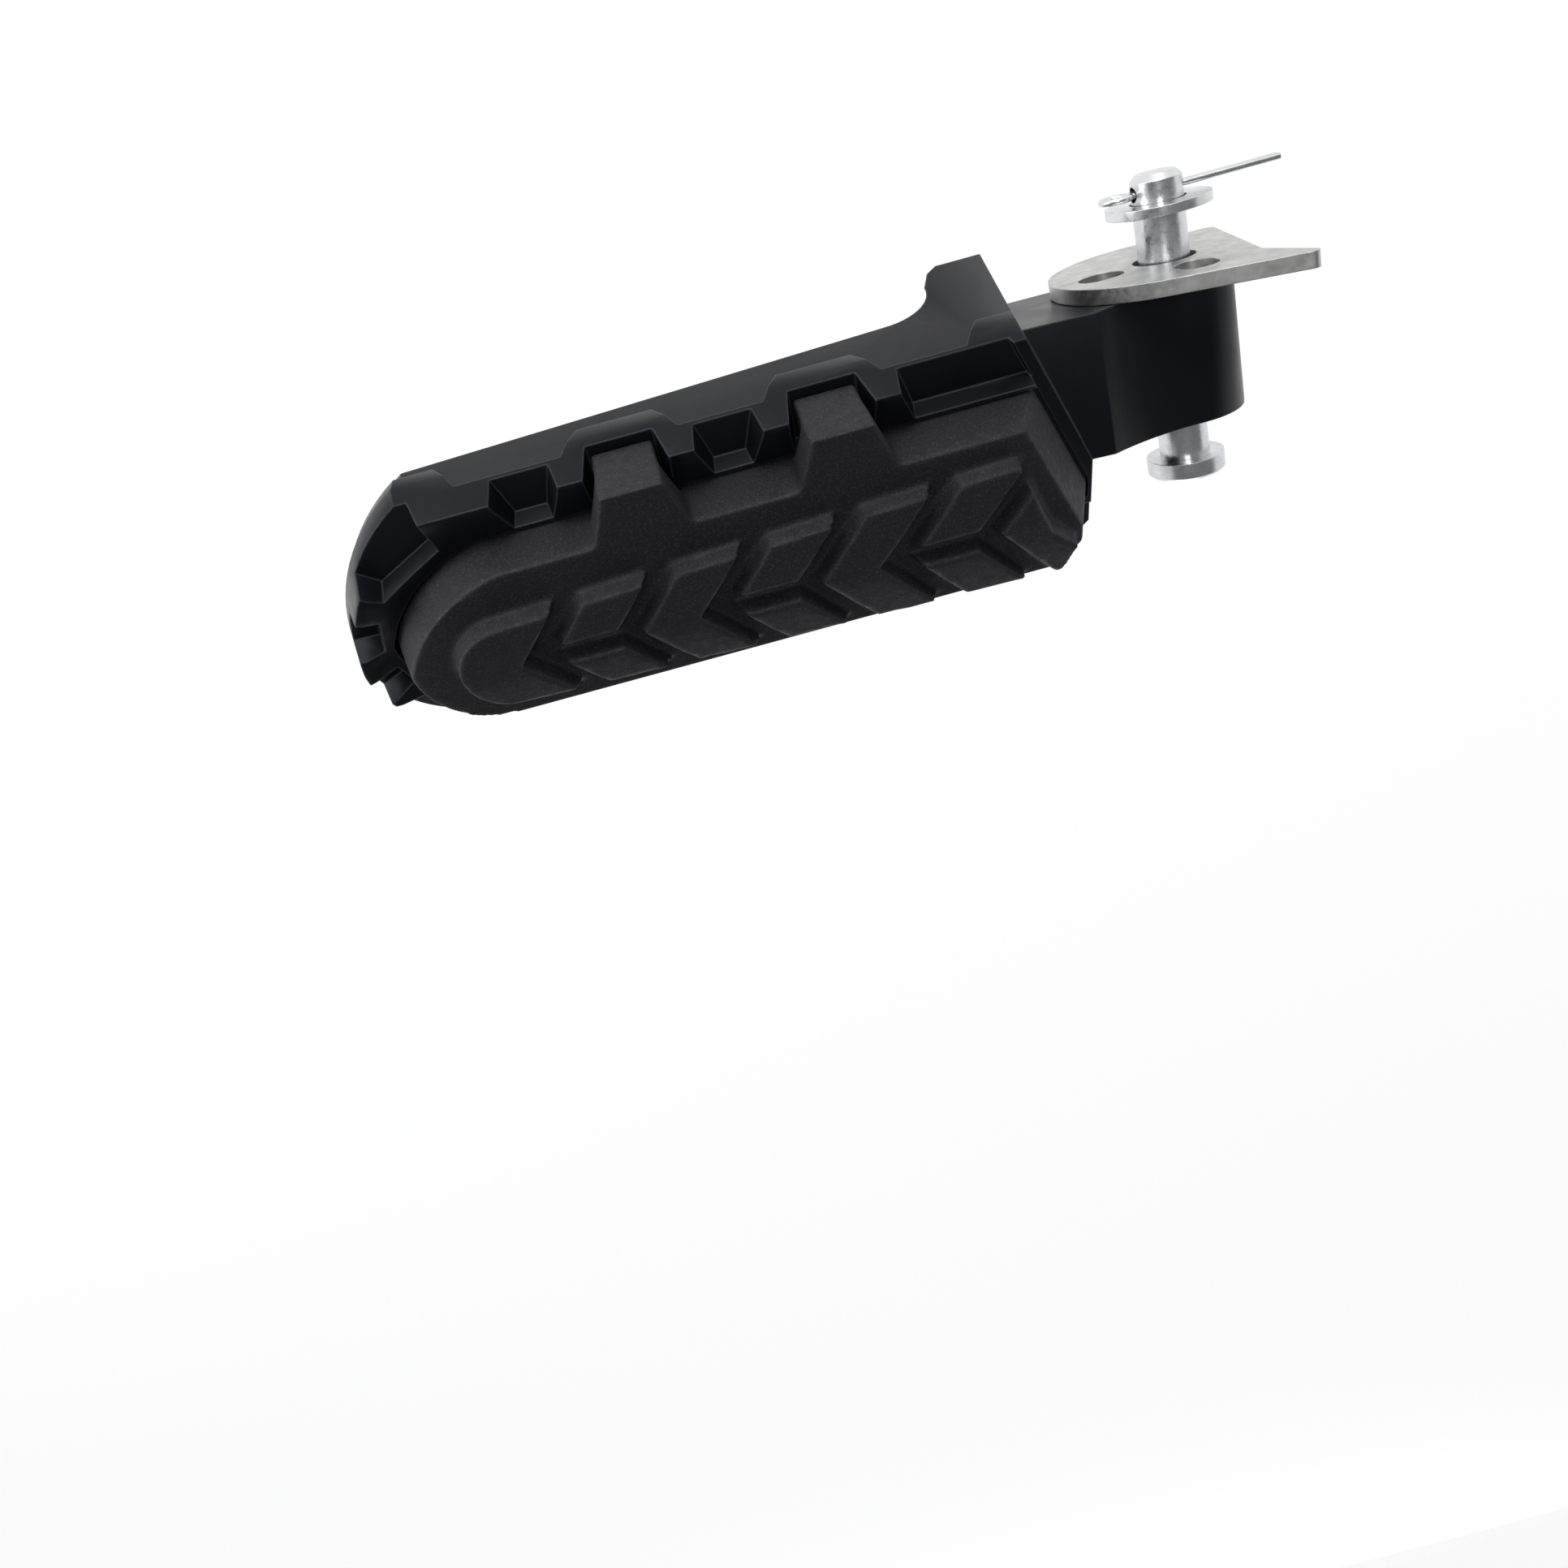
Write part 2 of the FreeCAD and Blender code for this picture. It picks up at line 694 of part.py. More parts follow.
def cut_bores(body):
    """Pivot bore, blind detent bore and the two bolt holes through the deck."""
    pivot = new_sketch(body, "pivot_bore", "XZ_Plane", axis=X_AXIS, turn=dim["pivot_tilt"])
    draw_circle(pivot, (ZERO, ZERO), dim["bush_diameter"] + dim["running_gap"] * 2)
    pocket(body, pivot, midplane=True)
    lean = dim["pivot_tilt"]
    shift = (ZERO, -(detent_floor * sine(lean)), detent_floor * cosine(lean))
    detent = new_sketch(body, "detent_bore", "XZ_Plane", shift, X_AXIS, lean)
    draw_circle(detent, (detent_x, detent_y), dim["detent_bore"])
    pocket(body, detent, dim["detent_depth"] + OUTSIDE, reverse=True)
    holes = at_level(body, "bolt_holes", dim["deck_level"])
    for place in bolt_places:
        draw_circle(holes, (place, ZERO), dim["bolt_diameter"] + dim["bolt_clearance"] * 2)
    pocket(body, holes, dim["deck_level"] - dim["pocket_ceiling"] + OUTSIDE)


def build_rubber():
    body = new_body("tread_rubber")
    foot = at_level(body, "pad_foot", dim["deck_level"])
    pad_outline(foot, ZERO, dim["pad_end_gap"], dim["pad_nose_slope"])
    pad(body, foot, dim["foot_height"])
    wall_foot = at_level(body, "wall_foot", dim["deck_level"] + dim["foot_height"])
    pad_outline(wall_foot, ZERO, dim["pad_end_gap"], dim["pad_nose_slope"])
    slab_top = at_level(body, "slab_top", dim["slab_level"])
    pad_outline(slab_top, dim["slab_inset"], dim["slab_end_gap"])
    loft(body, "AdditiveLoft", wall_foot, slab_top)
    build_tabs(body)
    build_blocks(body)
    cut_backing_recess(body)
    return body


def field_outline(sketch):
    """The tapered field of tread blocks: a round nose and an inner end that is stepped at its middle."""
    nose_half = dim["field_nose_half"]
    end_half = dim["field_end_half"]
    nose_x = dim["field_tip_x"] - nose_half
    far_x = end_line_x(dim["field_far_y"], dim["field_far_gap"])
    draw_loop(sketch, [
        (end_line_x(-end_half, dim["field_end_gap"]), -end_half),
        (nose_x, -nose_half),
        (nose_x, nose_half),
        (far_x + dim["field_far_slant"], dim["field_far_half"]),
        (far_x, dim["field_far_y"]),
        (end_line_x(ZERO, dim["field_end_gap"]), dim["field_step_y"]),
    ], {1: (nose_x, ZERO)})


def build_tabs(body):
    """Two tabs that fill the notches of the near rim, level with the slab."""
    floor = dim["notch_level"] + dim["tab_gap"]
    root_half = dim["pad_half"] - dim["tab_root"]
    neck = dim["pad_half"] + dim["tab_gap"] / 2
    above_deck = dim["deck_level"] + dim["tab_gap"]
    for index in range(2):
        start = notch_centre(index) - dim["tab_width"] / 2
        profile = new_sketch(body, "tab_%d" % (index + 1), "YZ_Plane", (ZERO, ZERO, start))
        draw_loop(profile, [
            (-root_half, above_deck),
            (-root_half, dim["slab_level"]),
            (-dim["tab_crest_half"], dim["slab_level"]),
            (-dim["tab_reach"], floor),
            (-neck, floor),
            (-neck, above_deck),
        ])
        pad(body, profile, dim["tab_width"])
        flare_tab(body, index)


def flare_tab(body, index):
    """The web that widens the top of a tab from its outer face back to the slab."""
    middle = notch_centre(index)
    sections = []
    root_half = dim["pad_half"] - dim["tab_root"]
    crest_half = dim["tab_crest_half"] - dim["tab_root"]
    for name, place, flare in (("root", root_half, dim["tab_flare"]), ("crest", crest_half, ZERO)):
        half = dim["tab_width"] / 2 + flare
        foot = dim["tab_flare_foot"]
        top = dim["slab_level"]
        section = new_sketch(body, "flare_%s_%d" % (name, index + 1), "XZ_Plane", (ZERO, ZERO, place))
        draw_loop(section, [(middle - half, foot), (middle + half, foot), (middle + half, top), (middle - half, top)])
        sections.append(section)
    loft(body, "AdditiveLoft", *sections)


def build_blocks(body):
    """Crowned tread blocks, parted by chevron grooves, with every second block split lengthwise."""
    field = at_level(body, "block_field", dim["slab_level"] - dim["block_root"])
    field_outline(field)
    height = dim["tread_level"] - dim["slab_level"] + dim["block_root"]
    pad(body, field, height, draft=-dim["block_draft"])
    crown_cut = new_sketch(body, "crown", "YZ_Plane")
    half = dim["field_far_half"]
    radius = (half * half / dim["crown"] + dim["crown"]) / 2
    edge_level = dim["tread_level"] - dim["crown"]
    top = dim["tread_level"] + OUTSIDE
    corners = [(half, edge_level), (-half, edge_level), (-half, top), (half, top)]
    draw_crown_loop(crown_cut, corners, radius)
    pocket(body, crown_cut, midplane=True)
    chevrons = at_level(body, "chevron_grooves", dim["slab_level"])
    for index in range(6):
        chevron_groove(chevrons, dim["block_x"] - dim["block_pitch"] * index)
    depth = dim["tread_level"] - dim["slab_level"] + OUTSIDE
    pocket(body, chevrons, depth, reverse=True, draft=dim["groove_draft"])
    splits = at_level(body, "split_grooves", dim["slab_level"])
    for index in range(3):
        far_end = dim["block_x"] - dim["block_pitch"] * (2 * index) - dim["groove_width"] / 2
        near_end = far_end - dim["block_pitch"]
        half_groove = dim["split_groove"] / 2
        shift = dim["chevron_depth"]
        draw_loop(splits, [
            (near_end + shift, -half_groove),
            (far_end + shift, -half_groove),
            (far_end + shift, half_groove),
            (near_end + shift, half_groove),
        ])
    pocket(body, splits, depth, reverse=True, draft=dim["groove_draft"])


def draw_crown_loop(sketch, corners, radius):
    """Everything above the crown: an arc over the tread and straight lines above it."""
    centre = (ZERO, dim["tread_level"] - radius)
    sketch.addGeometry(arc_through(corners[0], corners[1], centre), False)
    for start, end in ((1, 2), (2, 3), (3, 0)):
        sketch.addGeometry(Part.LineSegment(vector(corners[start]), vector(corners[end])), False)
    for index in range(4):
        following = (index + 1) % 4
        sketch.addConstraint(Sketcher.Constraint("Coincident", index, 2, following, 1))
        pin_point(sketch, index, 1, corners[index])
    number = sketch.addConstraint(Sketcher.Constraint("Radius", 0, radius.value))
    bind(sketch, "Constraints[%d]" % number, radius)


def chevron_groove(sketch, edge_x):
    """One groove with its point towards the tip, run out past both sides of the field."""
    side = dim["field_far_half"] + dim["block_root"] * 3
    slope = dim["chevron_depth"] / dim["field_nose_half"]
    width = dim["groove_width"]
    lead = slope * (side - dim["field_nose_half"])
    draw_loop(sketch, [
        (edge_x - lead, -side),
        (edge_x + dim["chevron_depth"], ZERO),
        (edge_x - lead, side),
        (edge_x - lead - width, side),
        (edge_x + dim["chevron_depth"] - width, ZERO),
        (edge_x - lead - width, -side),
    ])


def backing_ends():
    """X of the two ends of the backing plate."""
    return bolt_places[0] - dim["backing_margin"], bolt_places[1] + dim["backing_margin"]


def backing_rectangle(sketch):
    low, high = backing_ends()
    half = dim["backing_half"]
    draw_loop(sketch, [(low, -half), (high, -half), (high, half), (low, half)])


def cut_backing_recess(body):
    """The rubber is moulded round the backing plate and its two bosses."""
    recess = at_level(body, "backing_recess", dim["deck_level"])
    backing_rectangle(recess)
    pocket(body, recess, dim["backing_thickness"], reverse=True)
    bosses = at_level(body, "boss_recess", dim["deck_level"])
    for place in bolt_places:
        draw_circle(bosses, (place, ZERO), dim["boss_diameter"])
    pocket(body, bosses, dim["backing_thickness"] + dim["boss_height"], reverse=True)


def build_backing_plate():
    body = new_body("pad_backing_plate")
    blank = at_level(body, "backing_blank", dim["deck_level"])
    backing_rectangle(blank)
    pad(body, blank, dim["backing_thickness"])
    bosses = at_level(body, "backing_bosses", dim["deck_level"])
    for place in bolt_places:
        draw_circle(bosses, (place, ZERO), dim["boss_diameter"])
    pad(body, bosses, dim["backing_thickness"] + dim["boss_height"])
    holes = at_level(body, "backing_holes", dim["deck_level"])
    for place in bolt_places:
        draw_circle(holes, (place, ZERO), dim["bolt_diameter"])
    pocket(body, holes, dim["backing_thickness"] + dim["boss_height"] - dim["bolt_flange_height"], reverse=True)
    return body


def build_pad_bolts():
    """Two flange bolts that come up through the deck into the backing plate."""
    solids = []
    for number, place in enumerate(bolt_places, start=1):
        flange = doc.addObject("Part::Cylinder", "bolt_flange_%d" % number)
        bind(flange, "Radius", dim["bolt_flange_diameter"] / 2)
        bind(flange, "Height", dim["bolt_flange_height"])
        head = doc.addObject("Part::Prism", "bolt_head_%d" % number)
        head.Polygon = 6
        bind(head, "Circumradius", dim["bolt_head_across"] / 2 / cosine(size_of(30)))
        bind(head, "Height", dim["bolt_head_height"])
        shank = doc.addObject("Part::Cylinder", "bolt_shank_%d" % number)
        bind(shank, "Radius", dim["bolt_diameter"] / 2)
        grip = dim["deck_level"] - dim["pocket_ceiling"]
        bind(shank, "Height", grip + dim["backing_thickness"] + dim["boss_height"] / 2)
        levels = {
            flange: dim["pocket_ceiling"] - dim["bolt_flange_height"],
            head: dim["pocket_ceiling"] - dim["bolt_flange_height"] / 2 - dim["bolt_head_height"],
            shank: dim["pocket_ceiling"],
        }
        for piece, level in levels.items():
            bind(piece, "Placement.Base.x", place)
            bind(piece, "Placement.Base.z", level)
        bolt = doc.addObject("Part::MultiFuse", "bolt_%d" % number)
        bolt.Shapes = list(levels)
        solids.append(bolt)
    group = doc.addObject("Part::Compound", "pad_bolts")
    group.Label = "pad_bolts"
    group.Links = solids
    return group


def set_on_hinge(thing):
    """Turns a piece that is drawn along its own z axis onto the leaning pivot axis."""
    thing.Placement = FreeCAD.Placement(FreeCAD.Vector(), FreeCAD.Rotation(X_AXIS, hinge_turn.value))
    bind(thing, "Placement.Rotation.Angle", hinge_turn)


def build_bush():
    body = new_body("pivot_bush")
    half = tongue_face + dim["bush_end_play"]
    ring = at_level(body, "bush_ring", -half)
    draw_circle(ring, (ZERO, ZERO), dim["bush_diameter"])
    draw_circle(ring, (ZERO, ZERO), dim["pin_diameter"] + dim["pin_gap"] * 2)
    pad(body, ring, half * 2)
    set_on_hinge(body)
    return body


plate_foot = tongue_face + dim["plate_gap"]
plate_top = plate_foot + dim["plate_thickness"]
washer_foot = plate_top + dim["ear_gap"] * 2 + dim["ear_thickness"]
washer_top = washer_foot + dim["washer_thickness"]
cotter_level = washer_top + dim["cotter_margin"]
head_face = -(tongue_face + dim["ear_gap"] * 2 + dim["ear_thickness"])
pin_end = cotter_level + dim["pin_tail"]


def build_pin():
    """A headed clevis pin, turned as one profile, with a cross hole for the cotter pin."""
    body = new_body("clevis_pin")
    profile = new_sketch(body, "pin_profile", "XZ_Plane")
    radius = dim["pin_diameter"] / 2
    head = dim["pin_head_diameter"] / 2
    chamfer = dim["pin_chamfer"]
    low = head_face - dim["pin_head_height"]
    draw_loop(profile, [
        (ZERO, low),
        (head - chamfer / 2, low),
        (head, low + chamfer / 2),
        (head, head_face),
        (radius, head_face),
        (radius, pin_end - chamfer),
        (radius - chamfer, pin_end),
        (ZERO, pin_end),
    ])
    turned = body.newObject("PartDesign::Revolution", "pin_turned")
    turned.Profile = profile
    turned.ReferenceAxis = (profile, ["V_Axis"])
    turned.Angle = 360
    doc.recompute()
    cross = new_sketch(body, "cotter_hole", "YZ_Plane")
    draw_circle(cross, (ZERO, cotter_level), dim["cotter_hole"])
    pocket(body, cross, midplane=True)
    set_on_hinge(body)
    return body


def build_washer():
    body = new_body("pin_washer")
    ring = at_level(body, "washer_ring", washer_foot)
    draw_circle(ring, (ZERO, ZERO), dim["washer_diameter"])
    draw_circle(ring, (ZERO, ZERO), dim["washer_hole"])
    pad(body, ring, dim["washer_thickness"])
    set_on_hinge(body)
    return body


def plate_point(distance, angle):
    """A point of the detent plate at a distance and an angle from its hole."""
    return (cosine(angle) * distance, sine(angle) * distance)


def build_detent_plate():
    """A D-shaped plate with a tail, a big hole and two radial slots that catch the ball."""
    body = new_body("detent_plate")
    turn = dim["detent_angle"] - dim["slot_lead"]
    blank = new_sketch(body, "plate_blank", "XY_Plane", (ZERO, ZERO, plate_foot), Z_AXIS, turn)
    lean = dim["plate_flank_lean"]
    edge_slope = tangent(dim["plate_edge_lean"])
    radius = dim["plate_radius"]
    low_start = plate_point(radius, lean - 90)
    high_end = plate_point(radius, size_of(90) - lean)
    low_corner_x = -dim["plate_edge"] + edge_slope * radius
    low_corner = (low_corner_x, low_start[1] - (low_start[0] - low_corner_x) * tangent(lean))
    neck = (-dim["plate_edge"] - edge_slope * dim["plate_tail_neck"], dim["plate_tail_neck"])
    tail = (-dim["plate_tail_x"], high_end[1] + (high_end[0] + dim["plate_tail_x"]) * tangent(lean))
    draw_loop(blank, [low_corner, low_start, high_end, tail, neck], {1: (ZERO, ZERO)})
    pad(body, blank, dim["plate_thickness"])
    corners = edges_where(
        body.Shape,
        lambda edge, middle: edge.BoundBox.ZLength > dim["plate_thickness"].value / 2
        and math.hypot(middle.x, middle.y) > radius.value * 1.05)
    fillet(body, corners, dim["plate_corner"])
    openings = new_sketch(body, "plate_openings", "XY_Plane", (ZERO, ZERO, plate_foot), Z_AXIS, turn)
    draw_circle(openings, (ZERO, ZERO), dim["plate_hole"])
    for angle in (dim["slot_lead"], dim["slot_lead"] + dim["fold_range"]):
        draw_slot(openings, angle)
    pocket(body, openings, dim["plate_thickness"], reverse=True)
    set_on_hinge(body)
    return body


def draw_slot(sketch, angle):
    """A slot with round ends that runs out from the plate's hole at one angle."""
    half = dim["slot_width"] / 2
    reach = (dim["slot_length"] - dim["slot_width"]) / 2
    first = sketch.GeometryCount
    ends = []
    for sign in (-1, 1):
        distance = dim["detent_radius"] + reach * sign
        for turn in (-sign, sign):
            across = plate_point(half * turn, angle + 90)
            along = plate_point(distance, angle)
            ends.append((along[0] + across[0], along[1] + across[1]))
        centre = plate_point(distance, angle)
        sketch.addGeometry(arc_through(ends[-2], ends[-1], centre), False)
        pin_point(sketch, sketch.GeometryCount - 1, 3, centre)
    for start, end in ((1, 2), (3, 0)):
        sketch.addGeometry(Part.LineSegment(vector(ends[start]), vector(ends[end])), False)
    joints = [(first, 2, first + 2, 1), (first + 2, 2, first + 1, 1),
              (first + 1, 2, first + 3, 1), (first + 3, 2, first, 1)]
    for one, one_end, other, other_end in joints:
        sketch.addConstraint(Sketcher.Constraint("Tangent", one, one_end, other, other_end))
    number = sketch.addConstraint(Sketcher.Constraint("Radius", first, half.value))
    bind(sketch, "Constraints[%d]" % number, half)


def build_ball():
    ball = doc.addObject("Part::Sphere", "detent_ball")
    ball.Label = "detent_ball"
    bind(ball, "Radius", dim["ball_diameter"] / 2)
    place_on_detent(ball, ball_level)
    return ball


ball_level = plate_foot - dim["ball_sink"] - dim["ball_diameter"] / 2
spring_foot = detent_floor + dim["spring_seat_gap"]


def place_on_detent(thing, level):
    """Puts a piece on the axis of the detent bore, at a level along it."""
    lean = dim["pivot_tilt"]
    set_on_hinge(thing)
    bind(thing, "Placement.Base.x", detent_x)
    bind(thing, "Placement.Base.y", -(detent_y * sine(lean)) - level * cosine(lean))
    bind(thing, "Placement.Base.z", detent_y * cosine(lean) - level * sine(lean))


def build_spring():
    """The compression spring under the ball, a round wire on a helix."""
    body = new_body("detent_spring")
    wire = new_sketch(body, "spring_wire", "XZ_Plane")
    mean = (dim["spring_diameter"] - dim["spring_wire"]) / 2
    draw_circle(wire, (mean, dim["spring_wire"] / 2), dim["spring_wire"])
    reach = ball_touch_level() - spring_foot - dim["spring_wire"]
    coil = body.newObject("PartDesign::AdditiveHelix", "spring_coil")
    coil.Profile = wire
    coil.ReferenceAxis = (wire, ["V_Axis"])
    coil.Mode = "height-turns-angle"
    bind(coil, "Height", reach)
    bind(coil, "Turns", dim["spring_turns"])
    coil.Angle = 0
    doc.recompute()
    place_on_detent(body, spring_foot)
    return body


def ball_touch_level():
    """Level at which the top of the spring's last turn meets the ball."""
    ball_radius = dim["ball_diameter"] / 2
    mean = (dim["spring_diameter"] - dim["spring_wire"]) / 2
    reach = ball_radius + dim["spring_wire"] / 2 + dim["spring_seat_gap"]
    return ball_level - root(reach * reach - mean * mean) + dim["spring_wire"] / 2


def build_cotter():
    """A split pin: a round eye and two straight legs that lie side by side through the clevis pin."""
    wire = dim["cotter_wire"] / 2
    eye_radius = (dim["cotter_eye"] - wire) / 2
    eye_x = dim["pin_diameter"] / 2 + eye_radius + wire / 2
    eye = doc.addObject("Part::Torus", "cotter_eye")
    bind(eye, "Radius1", eye_radius)
    bind(eye, "Radius2", wire / 2)
    bind(eye, "Placement.Base.x", eye_x)
    bind(eye, "Placement.Base.z", cotter_level)
    pieces = [eye]
    for sign in (-1, 1):
        leg = doc.addObject("Part::Cylinder", "cotter_leg_%s" % ("near" if sign < 0 else "far"))
        bind(leg, "Radius", wire / 2)
        bind(leg, "Height", dim["cotter_length"])
        leg.Placement = FreeCAD.Placement(FreeCAD.Vector(), FreeCAD.Rotation(Y_AXIS, -90))
        bind(leg, "Placement.Base.x", eye_x - eye_radius)
        bind(leg, "Placement.Base.y", wire * 0.49 * sign)
        bind(leg, "Placement.Base.z", cotter_level)
        pieces.append(leg)
    cotter = doc.addObject("Part::MultiFuse", "cotter_pin")
    cotter.Label = "cotter_pin"
    cotter.Shapes = pieces
    set_on_hinge(cotter)
    return cotter


sub_parts = [
    build_casting(),
    build_rubber(),
    build_backing_plate(),
    build_pad_bolts(),
    build_bush(),
    build_pin(),
    build_washer(),
    build_cotter(),
    build_detent_plate(),
    build_ball(),
    build_spring(),
]
doc.recompute()

for thing in doc.Objects:
    if "Invalid" in thing.State or "Error" in thing.State:
        raise ValueError("%s failed: %s" % (thing.Name, thing.State))
for piece in sub_parts:
    if piece.Shape.isNull() or not piece.Shape.isValid():
        raise ValueError(piece.Label + " has no valid shape")

os.makedirs("parts", exist_ok=True)
for piece in sub_parts:
    piece.Shape.exportStep("parts/%s.step" % piece.Label)
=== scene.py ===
"""Passenger footrest: satin black casting, rubber tread and bright hinge hardware, lit as in a studio."""

import math

import bmesh
import bpy
from mathutils import Matrix, Vector


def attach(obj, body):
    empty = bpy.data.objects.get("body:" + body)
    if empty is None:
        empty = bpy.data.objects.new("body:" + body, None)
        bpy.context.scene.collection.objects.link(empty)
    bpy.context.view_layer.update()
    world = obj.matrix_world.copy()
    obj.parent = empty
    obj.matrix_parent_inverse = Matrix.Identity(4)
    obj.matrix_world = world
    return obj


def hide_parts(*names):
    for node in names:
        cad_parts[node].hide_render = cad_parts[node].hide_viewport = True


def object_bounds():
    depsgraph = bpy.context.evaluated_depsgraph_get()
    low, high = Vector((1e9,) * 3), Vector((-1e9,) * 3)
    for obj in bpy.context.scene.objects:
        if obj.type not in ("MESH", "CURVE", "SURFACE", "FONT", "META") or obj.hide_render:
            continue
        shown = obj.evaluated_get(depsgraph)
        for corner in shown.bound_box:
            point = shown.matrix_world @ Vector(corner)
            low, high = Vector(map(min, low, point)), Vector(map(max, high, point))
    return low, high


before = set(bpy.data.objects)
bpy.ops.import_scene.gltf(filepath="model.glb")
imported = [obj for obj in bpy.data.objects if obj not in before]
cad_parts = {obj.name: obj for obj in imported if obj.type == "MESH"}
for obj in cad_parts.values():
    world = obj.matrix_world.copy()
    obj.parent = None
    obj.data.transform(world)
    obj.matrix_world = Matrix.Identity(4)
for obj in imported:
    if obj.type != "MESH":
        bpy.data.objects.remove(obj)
cad_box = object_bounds()

MM = 0.001
WHITE = (1, 1, 1, 1)

# Camera, measured from the photograph
CAMERA_PLACE = Vector((68.8, -100.7, 129.4)) * MM
CAMERA_RIGHT = Vector((-0.965, 0.195, 0.177))
CAMERA_BACK = Vector((-0.011, -0.701, 0.713))
CAMERA_LENS = 27.95
CAMERA_SENSOR = 36.0
CAMERA_SHIFT = (0.0542, -0.1048)
CAMERA_NEAR = 5 * MM

# Floor, and the radius and rise in metres of each ring through which it sweeps up into the backdrop
FLOOR_DROP = 45 * MM
FLOOR_COLOUR = (0.42, 0.42, 0.42, 1)
FLOOR_ROUGHNESS = 0.9
FLOOR_GLOW = 0.86
BACKDROP = ((3.0, 0.0), (3.4, 0.08), (3.75, 0.35), (3.95, 0.8), (4.0, 1.4), (4.0, 2.2))
BACKDROP_SIDES = 96

# Surround, and each lamp's place from the object's middle and its size, in metres, and its power in watts
WORLD_COLOUR = (0.97, 0.98, 1.0, 1)
WORLD_STRENGTH = 0.20
LAMPS = (
    ("key", (0.05, -0.55, 0.06), (0.60, 0.20), 1.7),
    ("edge", (0.10, -0.42, 0.50), (0.14, 0.14), 0.9),
    ("fill", (0.00, 2.70, 0.00), (1.80, 0.12), 9.0),
    ("tip", (0.50, -0.12, 0.00), (0.30, 0.20), 1.0),
)

# Bolts that hold the pad, sized as in the CAD model
BOLT_PLACE = Vector((48, 0, 12.4)) * MM
BOLT_PITCH = 27 * MM
BOLT_COUNT = 2
BOLT_RADIUS = 2.5 * MM
BOLT_LENGTH = 6.95 * MM
BOLT_SIDES = 40
BOLT_FLANGE_RADIUS = 5.5 * MM
BOLT_FLANGE_HEIGHT = 1.2 * MM
BOLT_FLANGE_SIDES = 56
BOLT_HEAD_ACROSS_FLATS = 8 * MM
BOLT_HEAD_HEIGHT = 3.6 * MM
BOLT_HEAD_SIDES = 6
BOLT_HEAD_RADIUS = BOLT_HEAD_ACROSS_FLATS / 2 / math.cos(math.pi / BOLT_HEAD_SIDES)
BOLT_SHARP_ANGLE = math.radians(30)

# Detent spring, sized as in the CAD model; it stands along the hinge axis, which leans about X
HINGE_LEAN_DEGREES = 23
HINGE_TURN = math.radians(90 + HINGE_LEAN_DEGREES)
SPRING_PLACE = Vector((8.912, 3.883, 3.009)) * MM
SPRING_RADIUS = 2.6 * MM
SPRING_WIRE = 0.6 * MM
SPRING_HEIGHT = 7.32 * MM
SPRING_TURNS = 5.0
SPRING_STEPS = 48
SPRING_WIRE_SIDES = 20

# Copies of CAD meshes: corners this close are merged, and faces this nearly level become one
MERGE_GAP = 0.002 * MM
LEVEL_ANGLE = math.radians(0.4)

# Casting: the most that its edges are rounded by; the shortest edges hold all of them to less
CASTING_EDGE = 0.35 * MM
CASTING_EDGE_STEPS = 3
CASTING_EDGE_ANGLE = math.radians(28)

# Rubber: the fine grid on which its edges are smoothed, and how often for the blocks and for the slab
RUBBER_GRID = 0.30 * MM
SMOOTHING = 0.5
BLOCK_ROUNDS = 2
SLAB_ROUNDS = 16
SLAB_SIDE_Y = -10.2 * MM
SLAB_NOSE_X = 101.2 * MM

# Patterns: the stretch of a cloudy noise that is spread over two tones, and that of the turn over an edge
CLOUD_START = 0.3
CLOUD_END = 0.7
EDGE_START = 0.80
EDGE_END = 0.995
EDGE_SAMPLES = 6


def new_material(name):
    """An empty node material with its shader and output, and Object coordinates to read patterns from."""
    material = bpy.data.materials.new(name)
    material.use_nodes = True
    nodes = material.node_tree.nodes
    nodes.clear()
    output = nodes.new("ShaderNodeOutputMaterial")
    shader = nodes.new("ShaderNodeBsdfPrincipled")
    link(material, shader.outputs["BSDF"], output.inputs["Surface"])
    coordinates = nodes.new("ShaderNodeTexCoord").outputs["Object"]
    return material, shader, coordinates


def link(material, source, target):
    """Joins two sockets of a material."""
    material.node_tree.links.new(source, target)


def noise(material, coordinates, size, detail, roughness=0.5, stretch=None):
    """Noise whose features are about one size across, in metres."""
    nodes = material.node_tree.nodes
    if stretch is not None:
        mapping = nodes.new("ShaderNodeMapping")
        mapping.inputs["Scale"].default_value = stretch
        link(material, coordinates, mapping.inputs["Vector"])
        coordinates = mapping.outputs["Vector"]
    texture = nodes.new("ShaderNodeTexNoise")
    texture.inputs["Scale"].default_value = 1 / size
    texture.inputs["Detail"].default_value = detail
    texture.inputs["Roughness"].default_value = roughness
    link(material, coordinates, texture.inputs["Vector"])
    return texture.outputs["Fac"]


def ramp(material, source, low, high, start=CLOUD_START, end=CLOUD_END):
    """Spreads a stretch of a pattern over two colours or levels."""
    node = material.node_tree.nodes.new("ShaderNodeValToRGB")
    for element, place, colour in zip(node.color_ramp.elements, (start, end), (low, high)):
        element.position = place
        element.color = (colour, colour, colour, 1) if isinstance(colour, float) else colour
    link(material, source, node.inputs["Fac"])
    return node.outputs["Color"]


def mix(material, factor, first, second):
    """Mixes two colours, each a socket or a plain colour."""
    node = material.node_tree.nodes.new("ShaderNodeMix")
    node.data_type = "RGBA"
    link(material, factor, node.inputs[0])
    for socket, value in ((node.inputs[6], first), (node.inputs[7], second)):
        if isinstance(value, tuple):
            socket.default_value = value
        else:
            link(material, value, socket)
    return node.outputs[2]


